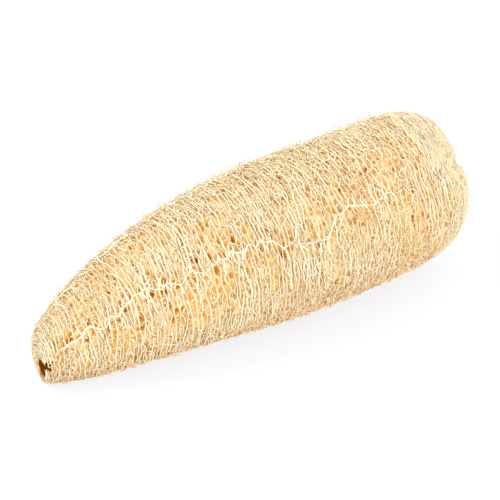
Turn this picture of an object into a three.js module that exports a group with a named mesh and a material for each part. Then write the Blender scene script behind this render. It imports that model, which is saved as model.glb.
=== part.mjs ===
// A whole dried loofah: the fibre skeleton that is left of a ripe gourd, lying on its side.
// It grew as one piece, so it is one solid: a club-shaped body whose skin is a raised net of
// hoop strands that part and meet again round lens-shaped pores, with zigzag veins along it,
// an open seed canal at the slim tip and a lobed crown at the thick end.
import * as THREE from "three";

// Driving dimensions, in millimetres unless a name says otherwise.
// The frame has +X from the tip to the crown and +Z up, with the skin's lowest line at Z = 0.
const LENGTH = 313; // from the mouth to the crown's middle, along the spine
const BELLY_RADIUS = 53;
const TIP_SLIMMER_BY = 36;
const TAPER_LENGTH = 206;
const TAPER_POWER = 2.06;
const NOSE_LENGTH = 58;
const NOSE_POWER = 2.4;
const CROWN_LENGTH = 63;
const CROWN_POWER = 3.5;

// The spine bows a little sideways, droops towards the tip, arches behind it and lifts towards the crown.
const BOW = 5.8;
const TIP_DROOP_LENGTH = 78;
const TIP_DROOP = 4.8;
const ARCH_AT = 105;
const ARCH_WIDTH = 50;
const ARCH = 2;
const CROWN_LIFT_LENGTH = 145;
const CROWN_LIFT = 5.9;
const PRESSED_BY = 1.5; // the underside lies this much flatter than round

// Three seed chambers leave three lobes, which show most at the crown.
const LOBES = 3;
const GROOVE_ANGLE = THREE.MathUtils.degToRad(124);
const GROOVE_WIDTH = THREE.MathUtils.degToRad(24);
const GROOVE_SHARE_FLANK = 0.012;
const GROOVE_SHARE_CROWN = 0.145;
const GROOVE_LENGTH = 80;
const CROWN_DIMPLE = 4;
const CROWN_DIMPLE_RADIUS = 11;

// The seed canal's mouth at the tip, which sits off the spine and a little back in the blunt end.
const MOUTH_TURN_LENGTH = 22;
const MOUTH_SET_BACK = 10.5;
const MOUTH_ASIDE = -9.5;
const MOUTH_RAISED = 5;
const MOUTH_RADIUS = 4.2;
const MOUTH_RAGGED = 0.8;
const CANAL_STEPS = [
  { depth: 5, radius: 3.9 },
  { depth: 12, radius: 3.2 },
  { depth: 16, radius: 1.8 },
];
const CANAL_LENGTH = 17;

// The net, coarser than life: hoops round the girth, each pulled to a neighbour at the knots.
const COLUMNS = 32;
const HOOP_PITCH = 5.8;
const STRAND_WIDTH = 1.9;
const STRAND_UNEVEN = 0.55;
const KNOT_PULL = 1.15;
const KNOT_COLUMNS_APART = [2, 4];
const PORE_DEPTH = 3.6;
const PORE_UNEVEN = 0.35; // of the depth
const KNOT_DEPTH = 0.4;
const FULL_DEPTH_RADIUS = 24; // pores get shallower where the girth is less
const VEIN_COLUMNS = [2, 7, 12, 17, 29];
const VEIN_RISE = [0.8, 0.5, 1, 0.5, 0.8];
const VEIN_SWING = THREE.MathUtils.degToRad(2.2);

// The flat spot that the loofah lies on, under its weight, and the tip's clearance above it.
const UNDERSIDE_COLUMN = 24;
const FLAT_SPOT_FROM = 140;
const FLAT_SPOT_TO = 220;
const TIP_CLEARANCE = 6;
const TIP_CLEARANCE_LENGTH = 30;

const STRAW = 0xead0a0;

// Repeatable noise from -1 to 1, by the minimal standard generator.
const SEED = 7;
const MULTIPLIER = 16807;
const MODULUS = 2 ** 31 - 1;
let state = SEED;
function uneven() {
  state = (state * MULTIPLIER) % MODULUS;
  return (2 * state) / MODULUS - 1;
}

const columnAngle = (column) => (2 * Math.PI * column) / COLUMNS;
const eased = (share) => THREE.MathUtils.clamp(share, 0, 1) ** 2;

// A rounded end: 0 at the pole, 1 from the end of the rounding on.
function rounding(share, power) {
  const left = 1 - Math.min(share, 1);
  return (1 - left ** power) ** (1 / power);
}

// The flank's radius at a distance along the body, before the ends are rounded.
function flankRadius(along) {
  const taper = Math.max(0, 1 - along / TAPER_LENGTH);
  return BELLY_RADIUS - TIP_SLIMMER_BY * taper ** TAPER_POWER;
}

function bodyRadius(along) {
  const nose = rounding(along / NOSE_LENGTH, NOSE_POWER);
  const crown = rounding((LENGTH - along) / CROWN_LENGTH, CROWN_POWER);
  return (MOUTH_RADIUS + (flankRadius(along) - MOUTH_RADIUS) * nose) * crown;
}

// The middle of the section at a distance along the body.
function spine(along) {
  const bow = BOW * (2 * (along / LENGTH) - 1) ** 2;
  const droop = TIP_DROOP * eased(1 - along / TIP_DROOP_LENGTH);
  const arch = ARCH * Math.exp(-(((along - ARCH_AT) / ARCH_WIDTH) ** 2));
  const lift = CROWN_LIFT * eased(1 - (LENGTH - along) / CROWN_LIFT_LENGTH);
  const turn = eased(1 - along / MOUTH_TURN_LENGTH);
  return new THREE.Vector3(
    along - LENGTH / 2 + MOUTH_SET_BACK * turn,
    bow + MOUTH_ASIDE * turn,
    flankRadius(along) - PRESSED_BY - droop + arch + lift + MOUTH_RAISED * turn,
  );
}

// How much of the radius is left in the grooves between the lobes.
function lobeShare(along, angle) {
  const turn = (2 * Math.PI) / LOBES;
  const off = THREE.MathUtils.euclideanModulo(angle - GROOVE_ANGLE + turn / 2, turn) - turn / 2;
  const near = Math.exp(-((off / GROOVE_WIDTH) ** 2));
  const crown = eased(1 - (LENGTH - along) / GROOVE_LENGTH);
  return 1 - near * THREE.MathUtils.lerp(GROOVE_SHARE_FLANK, GROOVE_SHARE_CROWN, crown);
}

// A point of the skin, raised along the radius, and never below the surface it lies on.
function skinPoint(along, angle, raised) {
  const round = bodyRadius(along) * lobeShare(along, angle);
  const point = spine(along);
  const dimple = Math.exp(-((round / CROWN_DIMPLE_RADIUS) ** 2));
  if (along > LENGTH / 2) point.x -= CROWN_DIMPLE * dimple;
  point.y += (round + raised) * Math.cos(angle);
  point.z += (round + raised) * Math.sin(angle);
  point.z = Math.max(point.z, TIP_CLEARANCE * eased(1 - along / TIP_CLEARANCE_LENGTH));
  return point;
}

// The body's outline from the mouth to the crown, which spaces the hoops evenly along the skin.
const OUTLINE_DIVISIONS = 2000;
class Meridian extends THREE.Curve {
  along(share) {
    return (LENGTH * (1 - Math.cos(Math.PI * share))) / 2;
  }
  getPoint(share) {
    const along = this.along(share);
    return new THREE.Vector3(along, bodyRadius(along), 0);
  }
}
const meridian = new Meridian();
meridian.arcLengthDivisions = OUTLINE_DIVISIONS;
const skinLength = meridian.getLength();
const HOOPS = Math.round(skinLength / HOOP_PITCH);
const alongAtHoop = (hoop) => {
  const share = THREE.MathUtils.clamp(hoop / HOOPS, 0, 1);
  return meridian.along(meridian.getUtoTmapping(share));
};

// Which columns of the gap after a hoop hold a knot, where its strand meets the next one. Knots
// come at uneven steps, not one above another, and all along the veins.
function knotRow(before) {
  const row = new Array(COLUMNS).fill(false);
  const [least, most] = KNOT_COLUMNS_APART;
  let column = Math.round(most * Math.abs(uneven()));
  while (column < COLUMNS) {
    row[column] = !before?.[column];
    column += least + Math.round((most - least) * Math.abs(uneven()));
  }
  for (const vein of VEIN_COLUMNS) row[vein] = true;
  return row;
}
const knots = [knotRow()];
while (knots.length < HOOPS) knots.push(knotRow(knots[knots.length - 1]));

// The line that a column follows: straight, or from side to side by turns along a vein.
const isVein = (column) => VEIN_COLUMNS.includes(column);
const swungAngle = (hoop, column) =>
  columnAngle(column) + (isVein(column) ? VEIN_SWING * Math.cos(Math.PI * hoop) : 0);

const fineness = (along) => Math.min(1, bodyRadius(along) / FULL_DEPTH_RADIUS);
const veinRise = (along, column) =>
  isVein(column) ? VEIN_RISE[VEIN_COLUMNS.indexOf(column)] * fineness(along) : 0;
const inFlatSpot = (along, column) =>
  Math.abs(column - UNDERSIDE_COLUMN) <= 1 && along > FLAT_SPOT_FROM && along < FLAT_SPOT_TO;

// The two edges of a hoop's strand. Each edge is pulled to the knots on its own side.
function strandRows(hoop) {
  const sway = Array.from({ length: COLUMNS }, () => STRAND_UNEVEN * uneven());
  const edge = (side) =>
    sway.map((swayed, column) => {
      const toNext = knots[hoop][column] ? KNOT_PULL : 0;
      const toLast = knots[hoop - 1][column] ? KNOT_PULL : 0;
      const own = side > 0 ? toNext : -toLast;
      const across = swayed + (toNext - toLast) / 2 + own / 2 + (side * STRAND_WIDTH) / 2;
      const along = alongAtHoop(hoop + across / HOOP_PITCH);
      return skinPoint(along, swungAngle(hoop, column), veinRise(along, column));
    });
  return [edge(-1), edge(1)];
}

// The row between a hoop and the next: knots near the strands' height and pores well below it.
function poreRow(hoop) {
  const along = alongAtHoop(hoop + 0.5);
  return Array.from({ length: COLUMNS }, (_, column) => {
    const deep = knots[hoop][column] ? KNOT_DEPTH : PORE_DEPTH;
    const depth = inFlatSpot(along, column) ? 0 : deep * (1 + PORE_UNEVEN * uneven());
    const raised = veinRise(along, column) - depth * fineness(along);
    return skinPoint(along, swungAngle(hoop + 0.5, column), raised);
  });
}

// The ragged rim of the mouth, and the canal's wall behind it.
function canalRow(depth, radius, ragged) {
  const middle = spine(0);
  return Array.from({ length: COLUMNS }, (_, column) => {
    const angle = columnAngle(column);
    const round = radius + ragged * uneven();
    return new THREE.Vector3(
      middle.x + depth + (ragged * uneven()) / 2,
      middle.y + round * Math.cos(angle),
      middle.z + round * Math.sin(angle),
    );
  });
}

// Every row of the skin from the canal's blind end, over the rim and along the body. Each row
// says which quads towards the next row lean, so that no fold runs across a pore from a knot.
function skinRows() {
  const upright = new Array(COLUMNS).fill(false);
  const rows = CANAL_STEPS.map(({ depth, radius }) => canalRow(depth, radius, 0)).reverse();
  rows.push(canalRow(0, MOUTH_RADIUS, MOUTH_RAGGED));
  const skin = rows.map((points) => ({ points, leans: upright }));
  for (let hoop = 1; hoop < HOOPS; hoop++) {
    const [back, front] = strandRows(hoop);
    skin.push({ points: back, leans: upright });
    skin.push({ points: front, leans: knots[hoop] });
    if (hoop === HOOPS - 1) break;
    skin.push({ points: poreRow(hoop), leans: knots[hoop].map((knot) => !knot) });
  }
  return skin;
}

// Joins the rows into a closed skin.
function netGeometry() {
  const rows = skinRows();
  const points = rows.flatMap((row) => row.points);
  const triangles = [];
  for (let row = 0; row < rows.length - 1; row++) {
    for (let column = 0; column < COLUMNS; column++) {
      const next = (column + 1) % COLUMNS;
      const near = row * COLUMNS + column;
      const nearNext = row * COLUMNS + next;
      const far = near + COLUMNS;
      const farNext = nearNext + COLUMNS;
      if (rows[row].leans[next]) {
        triangles.push(near, nearNext, far, nearNext, farNext, far);
      } else {
        triangles.push(near, nearNext, farNext, near, farNext, far);
      }
    }
  }
  const canalEnd = points.length;
  points.push(spine(0).add(new THREE.Vector3(CANAL_LENGTH, 0, 0)));
  const crownEnd = points.length;
  points.push(skinPoint(LENGTH, 0, 0));
  const lastRow = (rows.length - 1) * COLUMNS;
  for (let column = 0; column < COLUMNS; column++) {
    const next = (column + 1) % COLUMNS;
    triangles.push(canalEnd, next, column);
    triangles.push(crownEnd, lastRow + column, lastRow + next);
  }
  const geometry = new THREE.BufferGeometry().setFromPoints(points);
  geometry.setIndex(triangles);
  geometry.computeBoundingBox();
  const middle = geometry.boundingBox.getCenter(new THREE.Vector3());
  geometry.translate(-middle.x, -middle.y, 0);
  geometry.computeVertexNormals();
  return geometry;
}

const fibre = new THREE.MeshStandardMaterial({ color: STRAW, roughness: 0.85, metalness: 0 });
const sponge = new THREE.Mesh(netGeometry(), fibre);
sponge.name = "loofah_sponge";

const loofah = new THREE.Group();
loofah.add(sponge);

export default loofah;
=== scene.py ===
# A whole dried loofah: the fibre skeleton of one ripe gourd, lying on a pale table top.
import math

import bpy
import numpy as np
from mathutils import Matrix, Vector
from mathutils.geometry import delaunay_2d_cdt


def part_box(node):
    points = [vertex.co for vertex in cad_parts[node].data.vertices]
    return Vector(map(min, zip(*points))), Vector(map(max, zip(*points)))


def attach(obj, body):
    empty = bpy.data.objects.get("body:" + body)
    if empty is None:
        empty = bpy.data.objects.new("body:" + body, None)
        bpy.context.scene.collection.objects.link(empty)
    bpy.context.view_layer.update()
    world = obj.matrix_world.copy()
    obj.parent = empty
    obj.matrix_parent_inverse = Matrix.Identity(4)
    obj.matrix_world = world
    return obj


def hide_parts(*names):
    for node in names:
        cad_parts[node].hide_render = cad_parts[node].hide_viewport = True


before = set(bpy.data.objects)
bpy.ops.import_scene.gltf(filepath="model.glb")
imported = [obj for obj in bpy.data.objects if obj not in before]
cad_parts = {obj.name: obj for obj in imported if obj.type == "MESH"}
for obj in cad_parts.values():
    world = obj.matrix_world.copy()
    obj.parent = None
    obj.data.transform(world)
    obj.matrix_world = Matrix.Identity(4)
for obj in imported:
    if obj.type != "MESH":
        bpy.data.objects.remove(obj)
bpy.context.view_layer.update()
bpy.ops.object.select_all(action="DESELECT")


# Spongy core: the close inner fibre that shows golden through the net, with painted shade in deep pores.
# It is dried gourd fibre, grown in one with the net, and it follows the gourd's own form: a club that
# lies on its side, slim at the tip, where the seeds fell out of an open canal, and thick at the crown.
LENGTH = 0.313
BELLY_RADIUS = 0.053
TIP_SLIMMER_BY = 0.036
TAPER_LENGTH = 0.206
TAPER_POWER = 2.06
NOSE_LENGTH = 0.058
NOSE_POWER = 2.4
CROWN_LENGTH = 0.063
CROWN_POWER = 3.5
BOW = 0.0058
TIP_DROOP_LENGTH = 0.078
TIP_DROOP = 0.0048
ARCH_AT = 0.105
ARCH_WIDTH = 0.050
ARCH = 0.002
CROWN_LIFT_LENGTH = 0.145
CROWN_LIFT = 0.0059
PRESSED_BY = 0.0015
TIP_CLEARANCE = 0.006
TIP_CLEARANCE_LENGTH = 0.030
LOBES = 3
GROOVE_ANGLE = math.radians(124)
GROOVE_WIDTH = math.radians(24)
GROOVE_SHARE_FLANK = 0.012
GROOVE_SHARE_CROWN = 0.145
GROOVE_LENGTH = 0.080
CROWN_DIMPLE = 0.004
CROWN_DIMPLE_RADIUS = 0.011
MOUTH_TURN_LENGTH = 0.022
MOUTH_SET_BACK = 0.0105
MOUTH_ASIDE = -0.0095
MOUTH_RAISED = 0.005
MOUTH_RADIUS = 0.0042


def eased(share):
    return np.clip(share, 0, 1) ** 2


def rounding(share, power):
    """A rounded end: 0 at the pole, 1 from the end of the rounding on."""
    left = 1 - np.minimum(share, 1)
    return (1 - left**power) ** (1 / power)


def flank_radius(along):
    return BELLY_RADIUS - TIP_SLIMMER_BY * np.maximum(0, 1 - along / TAPER_LENGTH) ** TAPER_POWER


def body_radius(along):
    nose = rounding(along / NOSE_LENGTH, NOSE_POWER)
    crown = rounding((LENGTH - along) / CROWN_LENGTH, CROWN_POWER)
    return (MOUTH_RADIUS + (flank_radius(along) - MOUTH_RADIUS) * nose) * crown


def spine(along):
    """The middle of the section at a distance along the body, as x, y and z."""
    droop = TIP_DROOP * eased(1 - along / TIP_DROOP_LENGTH)
    arch = ARCH * np.exp(-(((along - ARCH_AT) / ARCH_WIDTH) ** 2))
    lift = CROWN_LIFT * eased(1 - (LENGTH - along) / CROWN_LIFT_LENGTH)
    turn = eased(1 - along / MOUTH_TURN_LENGTH)
    x = along - LENGTH / 2 + MOUTH_SET_BACK * turn
    y = BOW * (2 * along / LENGTH - 1) ** 2 + MOUTH_ASIDE * turn
    z = flank_radius(along) - PRESSED_BY - droop + arch + lift + MOUTH_RAISED * turn
    return x, y, z


# The run is the distance along the skin from the mouth's rim to the crown's middle.
OUTLINE_STEPS = 4000
outline_along = LENGTH * (1 - np.cos(np.linspace(0, np.pi, OUTLINE_STEPS))) / 2
outline_radius = body_radius(outline_along)
outline_steps = np.hypot(np.diff(outline_along), np.diff(outline_radius))
outline_run = np.concatenate([[0], np.cumsum(outline_steps)])
SKIN_RUN = outline_run[-1]


def girth_radius(run):
    return np.interp(run, outline_run, outline_radius)


def turned(angle):
    """An angle brought to the range from minus to plus half a turn."""
    return np.mod(angle + np.pi, 2 * np.pi) - np.pi


def skin_point(run, angle):
    """The skin at a run and an angle: 0 degrees is to +Y, 90 is up and 180 is to -Y."""
    along = np.interp(run, outline_run, outline_along)
    off = turned(LOBES * (angle - GROOVE_ANGLE)) / LOBES
    crown = eased(1 - (LENGTH - along) / GROOVE_LENGTH)
    groove = GROOVE_SHARE_FLANK + (GROOVE_SHARE_CROWN - GROOVE_SHARE_FLANK) * crown
    radius = girth_radius(run) * (1 - groove * np.exp(-((off / GROOVE_WIDTH) ** 2)))
    dimple = CROWN_DIMPLE * np.exp(-((radius / CROWN_DIMPLE_RADIUS) ** 2)) * (along > LENGTH / 2)
    x, y, z = spine(along)
    lowest = TIP_CLEARANCE * eased(1 - along / TIP_CLEARANCE_LENGTH)
    y = y + radius * np.cos(angle)
    z = np.maximum(z + radius * np.sin(angle), lowest)
    return np.stack(np.broadcast_arrays(x - dimple, y, z), -1)


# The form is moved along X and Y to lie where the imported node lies.
MEASURED_RUNS = 900
MEASURED_ANGLES = 720
everywhere = skin_point(
    np.linspace(0, SKIN_RUN, MEASURED_RUNS)[:, None],
    np.linspace(0, 2 * np.pi, MEASURED_ANGLES)[None, :],
)
form_middle = (everywhere.min((0, 1)) + everywhere.max((0, 1))) / 2
cad_low, cad_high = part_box("loofah_sponge")
form_shift = np.array((cad_low + cad_high) / 2) - form_middle
form_shift[2] = 0


# Two of the crown's lobes meet in a narrow fold.
FOLD_ANGLE = math.radians(137)
FOLD_WIDTH = math.radians(5)
FOLD_DEPTH = 0.0024
FOLD_RUNS = [0.262, 0.285]


def under_skin(run, angle, depth, clearance):
    """Points that lie a depth below the skin, along its normal, and clear of what the loofah lies on."""
    fold = np.exp(-((turned(angle - FOLD_ANGLE) / FOLD_WIDTH) ** 2)) * np.interp(run, FOLD_RUNS, [0, 1])
    depth = np.asarray(depth) + FOLD_DEPTH * fold
    step_run = 0.0004
    step_angle = 0.004
    along = skin_point(run + step_run, angle) - skin_point(run - step_run, angle)
    round_it = skin_point(run, angle + step_angle) - skin_point(run, angle - step_angle)
    normal = np.cross(round_it, along)
    normal /= np.linalg.norm(normal, axis=-1, keepdims=True)
    points = skin_point(run, angle) + form_shift - normal * depth[..., None]
    points[..., 2] = np.maximum(points[..., 2], clearance)
    return points


def drift(seed, cells_round, cells_along):
    """Smooth seeded noise from -1 to 1 over the skin, as a function of the run and the angle."""
    knots = np.random.default_rng(seed).uniform(-1, 1, (cells_along + 2, cells_round))

    def at(run, angle):
        run, angle = np.broadcast_arrays(run, angle)
        down = np.clip(run / SKIN_RUN, 0, 1) * cells_along
        across = np.mod(angle / (2 * np.pi), 1) * cells_round
        row = down.astype(int)
        column = across.astype(int) % cells_round
        beside = (column + 1) % cells_round
        down = down - row
        across = across - np.floor(across)
        down = down * down * (3 - 2 * down)
        across = across * across * (3 - 2 * across)
        near = knots[row, column] * (1 - across) + knots[row, beside] * across
        far = knots[row + 1, column] * (1 - across) + knots[row + 1, beside] * across
        return near * (1 - down) + far * down

    return at


# The veins run along the body and bend from side to side where hoops join them. A vein is its bends, as
# runs in metres with angles in degrees: the first is the one in full view. The others keep near an angle
# and are like it.
MAIN_VEIN = [
    (0.030, 145), (0.038, 143), (0.042, 142), (0.048, 136), (0.052, 144), (0.056, 146), (0.059, 139),
    (0.065, 143), (0.067, 137), (0.073, 136), (0.076, 132), (0.081, 133), (0.086, 133), (0.091, 138),
    (0.095, 137), (0.098, 138), (0.103, 143), (0.107, 139), (0.111, 136), (0.118, 142), (0.121, 142),
    (0.125, 140), (0.128, 138), (0.132, 139), (0.135, 138), (0.138, 135), (0.144, 139), (0.148, 136),
    (0.153, 140), (0.157, 136), (0.163, 139), (0.169, 147), (0.178, 145), (0.188, 151), (0.199, 152),
    (0.207, 141), (0.214, 139), (0.218, 136), (0.223, 137), (0.230, 139), (0.238, 141), (0.243, 139),
    (0.246, 137), (0.253, 139),
]
OTHER_VEINS = [62, 12, 318, 262]
VEIN_RUNS = (0.026, 0.300)
VEIN_STEP = 0.0075
VEIN_SWING = 0.0024
MOST_BENDS = 60
vein_rng = np.random.default_rng(31)
veins = [np.array(MAIN_VEIN)]
for degrees in OTHER_VEINS:
    bend_runs = VEIN_RUNS[0] + np.cumsum(VEIN_STEP * vein_rng.uniform(0.7, 1.35, MOST_BENDS))
    bend_runs = bend_runs[bend_runs < VEIN_RUNS[1]]
    swings = VEIN_SWING * vein_rng.uniform(0.3, 1.3, len(bend_runs)) * (-1) ** np.arange(len(bend_runs))
    veins.append(np.column_stack([bend_runs, degrees + np.degrees(swings / girth_radius(bend_runs))]))


def beside_vein(bends, run, angle):
    """How far a place is from a vein round the girth, and along the body where the vein has ended."""
    at = np.radians(np.interp(run, bends[:, 0], bends[:, 1]))
    beyond = np.maximum(np.maximum(bends[0, 0] - run, run - bends[-1, 0]), 0)
    return turned(angle - at) * girth_radius(run), beyond


# The net is open for a width beside each vein, near the mouth, and in some patches: a patch is the run and
# the angle of its middle, how far it goes along the body and round it, and how open it is.
OPEN_REACH = 0.010
OPEN_EVERYWHERE = 0.32
OPEN_BY_CHANCE = 0.75
OPEN_TIP = 0.4
OPEN_TIP_LENGTH = 0.035
OPEN_PATCHES = [
    (0.228, 2.15, 0.042, 0.5, 0.9),
    (0.268, 2.8, 0.028, 0.8, 0.45),
    (0.0, 3.5, math.inf, 0.6, 0.3),
]
CLOSER_AT_CROWN = ([0.285, 0.315], [1, 0.3])
patchy = drift(22, 13, 16)


def openness(run, angle):
    """From 0 to 1, how open the net is: most beside the veins, and in patches."""
    share = OPEN_EVERYWHERE + OPEN_BY_CHANCE * patchy(run, angle)
    share = share + OPEN_TIP * np.clip(1 - run / OPEN_TIP_LENGTH, 0, 1)
    for patch_run, patch_angle, long, round_it, amount in OPEN_PATCHES:
        along = (run - patch_run) / long
        around = turned(angle - patch_angle) / round_it
        share = share + amount * np.exp(-(along**2) - around**2)
    for bends in veins:
        apart = np.hypot(*beside_vein(bends, run, angle))
        share = np.maximum(share, np.exp(-((apart / OPEN_REACH) ** 2)))
    return np.clip(share, 0, 1) * np.interp(run, *CLOSER_AT_CROWN)


# The net's cells: strands go round each. The largest that can be seen are listed, as a run in metres, an
# angle in degrees, half a width and half a length in millimetres, and how deep from 0 to 1, which also sets
# the painted shade in the core under a pore. The rest are strewn, larger where the net is open, and some of
# them let the eye through to the core.
SEEN_PORES = [
    (0.117, 130, 1.1, 2.4, 1.0), (0.142, 127, 1.2, 3.4, 0.7), (0.126, 144, 1.8, 4.2, 0.5),
    (0.112, 143, 1.9, 4.2, 0.2), (0.144, 133, 1.5, 2.6, 0.4), (0.156, 142, 1.8, 3.0, 0.3),
    (0.163, 130, 1.2, 4.0, 0.4), (0.169, 152, 2.1, 3.2, 0.8), (0.151, 147, 1.2, 4.8, 0.2),
    (0.150, 125, 1.3, 4.0, 0.2), (0.133, 124, 1.3, 3.0, 0.3), (0.194, 130, 1.5, 4.4, 0.3),
    (0.205, 127, 1.8, 3.2, 0.3), (0.212, 130, 1.6, 2.2, 0.2), (0.199, 113, 1.4, 4.0, 0.3),
    (0.221, 126, 1.3, 2.6, 0.3), (0.241, 115, 1.6, 2.6, 0.8), (0.245, 113, 1.0, 1.9, 0.9),
    (0.221, 146, 2.5, 2.8, 0.6), (0.216, 140, 2.1, 2.2, 0.1), (0.226, 142, 1.9, 2.0, 0.5),
    (0.226, 151, 1.8, 2.0, 0.8), (0.248, 142, 2.0, 3.2, 0.5), (0.243, 128, 1.4, 3.0, 0.5),
    (0.250, 129, 1.3, 4.0, 0.2), (0.236, 124, 1.4, 4.0, 0.2), (0.254, 146, 1.8, 3.0, 0.2),
    (0.211, 149, 1.2, 4.2, 0.2), (0.033, 133, 1.4, 2.0, 1.0), (0.013, 166, 1.2, 1.4, 1.0),
    (0.017, 158, 1.1, 1.3, 1.0), (0.011, 113, 1.2, 1.4, 0.9), (0.046, 116, 1.2, 1.7, 0.5),
    (0.047, 125, 1.1, 1.4, 0.4), (0.048, 132, 1.0, 1.2, 0.2), (0.069, 140, 1.3, 1.8, 0.6),
    (0.061, 128, 1.0, 1.5, 0.4), (0.070, 164, 1.2, 1.9, 0.4), (0.058, 133, 1.0, 1.6, 0.2),
    (0.023, 125, 1.0, 2.0, 0.6), (0.030, 137, 0.9, 2.2, 0.8), (0.028, 146, 0.8, 2.0, 0.7),
    (0.060, 150, 1.1, 1.5, 0.2), (0.082, 140, 1.1, 2.4, 0.5), (0.077, 143, 1.2, 2.4, 0.2),
]
CELL_WALL = 0.0002
CELL_WIDTH = 0.00052
CELL_WIDER_WHERE_OPEN = 0.0009
CELL_WIDTH_SPREAD = 0.34
CELL_LENGTH = 0.0025
CELL_SHORTER_WHERE_OPEN = 0.0006
CELL_LENGTH_SPREAD = 0.25
NARROW_AT_TIP = ([0.01, 0.05], [0.85, 1])
SHORT_AT_TIP = ([0.01, 0.06], [0.6, 1])
DEEP_CELL_SHARE = 0.05
DEEP_CELL = 0.8
SHALLOW_CELL = 0.65
CELL_REACH = 0.006
CELL_TRIES = 60000
PORE_SHARE = 0.2
PORE_SHARE_WHERE_OPEN = 0.7
cell_rng = np.random.default_rng(41)
cells = np.zeros((CELL_TRIES, 5))
cell_count = len(SEEN_PORES)
cells[:cell_count] = np.array(SEEN_PORES) * [1, math.pi / 180, 0.001, 0.001, 1]
skin_share = np.cumsum(outline_radius * np.gradient(outline_run))
try_run = np.interp(cell_rng.uniform(0, skin_share[-1], CELL_TRIES), skin_share, outline_run)
try_angle = cell_rng.uniform(0, 2 * np.pi, CELL_TRIES)
try_open = openness(try_run, try_angle)
try_wide = CELL_WIDTH + CELL_WIDER_WHERE_OPEN * try_open
try_wide = try_wide * np.exp(cell_rng.normal(0, CELL_WIDTH_SPREAD, CELL_TRIES))
try_wide *= np.interp(try_run, *NARROW_AT_TIP)
try_long = CELL_LENGTH - CELL_SHORTER_WHERE_OPEN * try_open
try_long = try_long * np.exp(cell_rng.normal(0, CELL_LENGTH_SPREAD, CELL_TRIES))
try_long *= np.interp(try_run, *SHORT_AT_TIP)
try_deep = cell_rng.uniform(0, 1, CELL_TRIES)
try_deep = np.where(try_deep > 1 - DEEP_CELL_SHARE, DEEP_CELL, SHALLOW_CELL * try_deep**1.5)
# A cell that a vein would cross moves aside.
for bends in veins:
    aside, beyond = beside_vein(bends, try_run, try_angle)
    clear = np.where(beyond > 0, 0, 0.7 * try_long)
    moved = np.where(aside < 0, -1, 1) * np.maximum(np.abs(aside), clear) - aside
    try_angle = try_angle + moved / girth_radius(try_run)
try_girth = girth_radius(try_run)
for run, angle, wide, length, deep, girth in zip(
    try_run, try_angle, try_wide, try_long, try_deep, try_girth
):
    kept = cells[:cell_count]
    kept = kept[np.abs(kept[:, 0] - run) < CELL_REACH]
    across = (kept[:, 0] - run) / (kept[:, 2] + wide + CELL_WALL)
    around = turned(kept[:, 1] - angle) * girth / (kept[:, 3] + length + CELL_WALL)
    if len(kept) == 0 or (across**2 + around**2).min() > 1:
        cells[cell_count] = run, angle, wide, length, deep
        cell_count += 1
cells = cells[:cell_count]
pore_share = PORE_SHARE + PORE_SHARE_WHERE_OPEN * openness(cells[:, 0], cells[:, 1])
lets_through = cell_rng.uniform(0, 1, cell_count) < pore_share
lets_through[: len(SEEN_PORES)] = True
pores = cells[lets_through]

# The core is a ball drawn out to the gourd's form: its first rows are pushed in as the blind seed canal.
CORE_COLUMNS = 256
CORE_ROWS = 300
CORE_DEPTH = 0.0032
CORE_SHALLOW_AT_MOUTH = ([0, 0.015], [0.35, 1])
CORE_RELIEF = 0.0005
CORE_CLEARANCE = 0.0016
LEAST_GIRTH = 0.003
POLE_GAP = 0.0006
PORE_FLOOR = 0.0008
PORE_DEPTH = 0.0045
PORE_SLOPE = 0.9
# Painted shade in the core under a pore: this much for the shallowest, full for the deepest.
PORE_LEAST_PAINTED_SHADE = 0.3
DEEPEST_SHARE = 0.7
CANAL_LENGTH = 0.024
CANAL_RADIUS = 0.92 * MOUTH_RADIUS
CANAL_INSET = 0.001
CANAL_ROWS = 16
CANAL_END_ROWS = CANAL_ROWS / 3

bpy.ops.mesh.primitive_uv_sphere_add(segments=CORE_COLUMNS, ring_count=CORE_ROWS)
core = bpy.context.object
core.name = "spongy_core"
ball = np.empty(len(core.data.vertices) * 3)
core.data.vertices.foreach_get("co", ball)
ball = ball.reshape(-1, 3)
core_angle = np.arctan2(ball[:, 1], ball[:, 0])
core_row = np.arccos(np.clip(-ball[:, 2], -1, 1)) / np.pi * CORE_ROWS
core_run = np.clip((core_row - CANAL_ROWS) / (CORE_ROWS - CANAL_ROWS), 0, 1) * SKIN_RUN
core_run = np.clip(core_run, POLE_GAP, SKIN_RUN - POLE_GAP)
relief = drift(11, 40, 48)(core_run, core_angle) + drift(12, 110, 120)(core_run, core_angle)
sunk = CORE_DEPTH + CORE_RELIEF * relief
sunk = sunk * np.interp(core_run, *CORE_SHALLOW_AT_MOUTH)
painted_shade = np.zeros(len(ball))
dug = np.zeros(len(ball))
for run, angle, wide, length, deep in pores:
    near = np.flatnonzero(np.abs(core_run - run) < 4 * wide)
    around = turned(core_angle[near] - angle) * girth_radius(run)
    across = (core_run[near] - run) / wide
    share = np.exp(-PORE_SLOPE * (across**2 + (around / length) ** 2))
    dug[near] = np.maximum(dug[near], share * (PORE_FLOOR + PORE_DEPTH * deep))
    # The core is painted with shade under each pore, darker the deeper the pore.
    dark = PORE_LEAST_PAINTED_SHADE + (1 - PORE_LEAST_PAINTED_SHADE) * deep
    painted_shade[near] = np.maximum(painted_shade[near], share * dark)
sunk = np.minimum(sunk + dug, DEEPEST_SHARE * np.maximum(girth_radius(core_run), LEAST_GIRTH))
core_points = under_skin(core_run, core_angle, sunk, CORE_CLEARANCE)

# The mouth is torn open to one side: a slit, as runs in metres, angles in degrees and radii in metres.
MOUTH_SLIT = [
    (0.0015, 100, 0.0021), (0.0050, 138, 0.0022), (0.0087, 151, 0.0018), (0.0120, 163, 0.0016),
    (0.0145, 172, 0.0012),
]
SLIT_PUSH = np.array([0.006, 0.002, 0])
slit = np.array(MOUTH_SLIT)
slit_middles = skin_point(slit[:, 0], np.radians(slit[:, 1])) + form_shift


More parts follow.
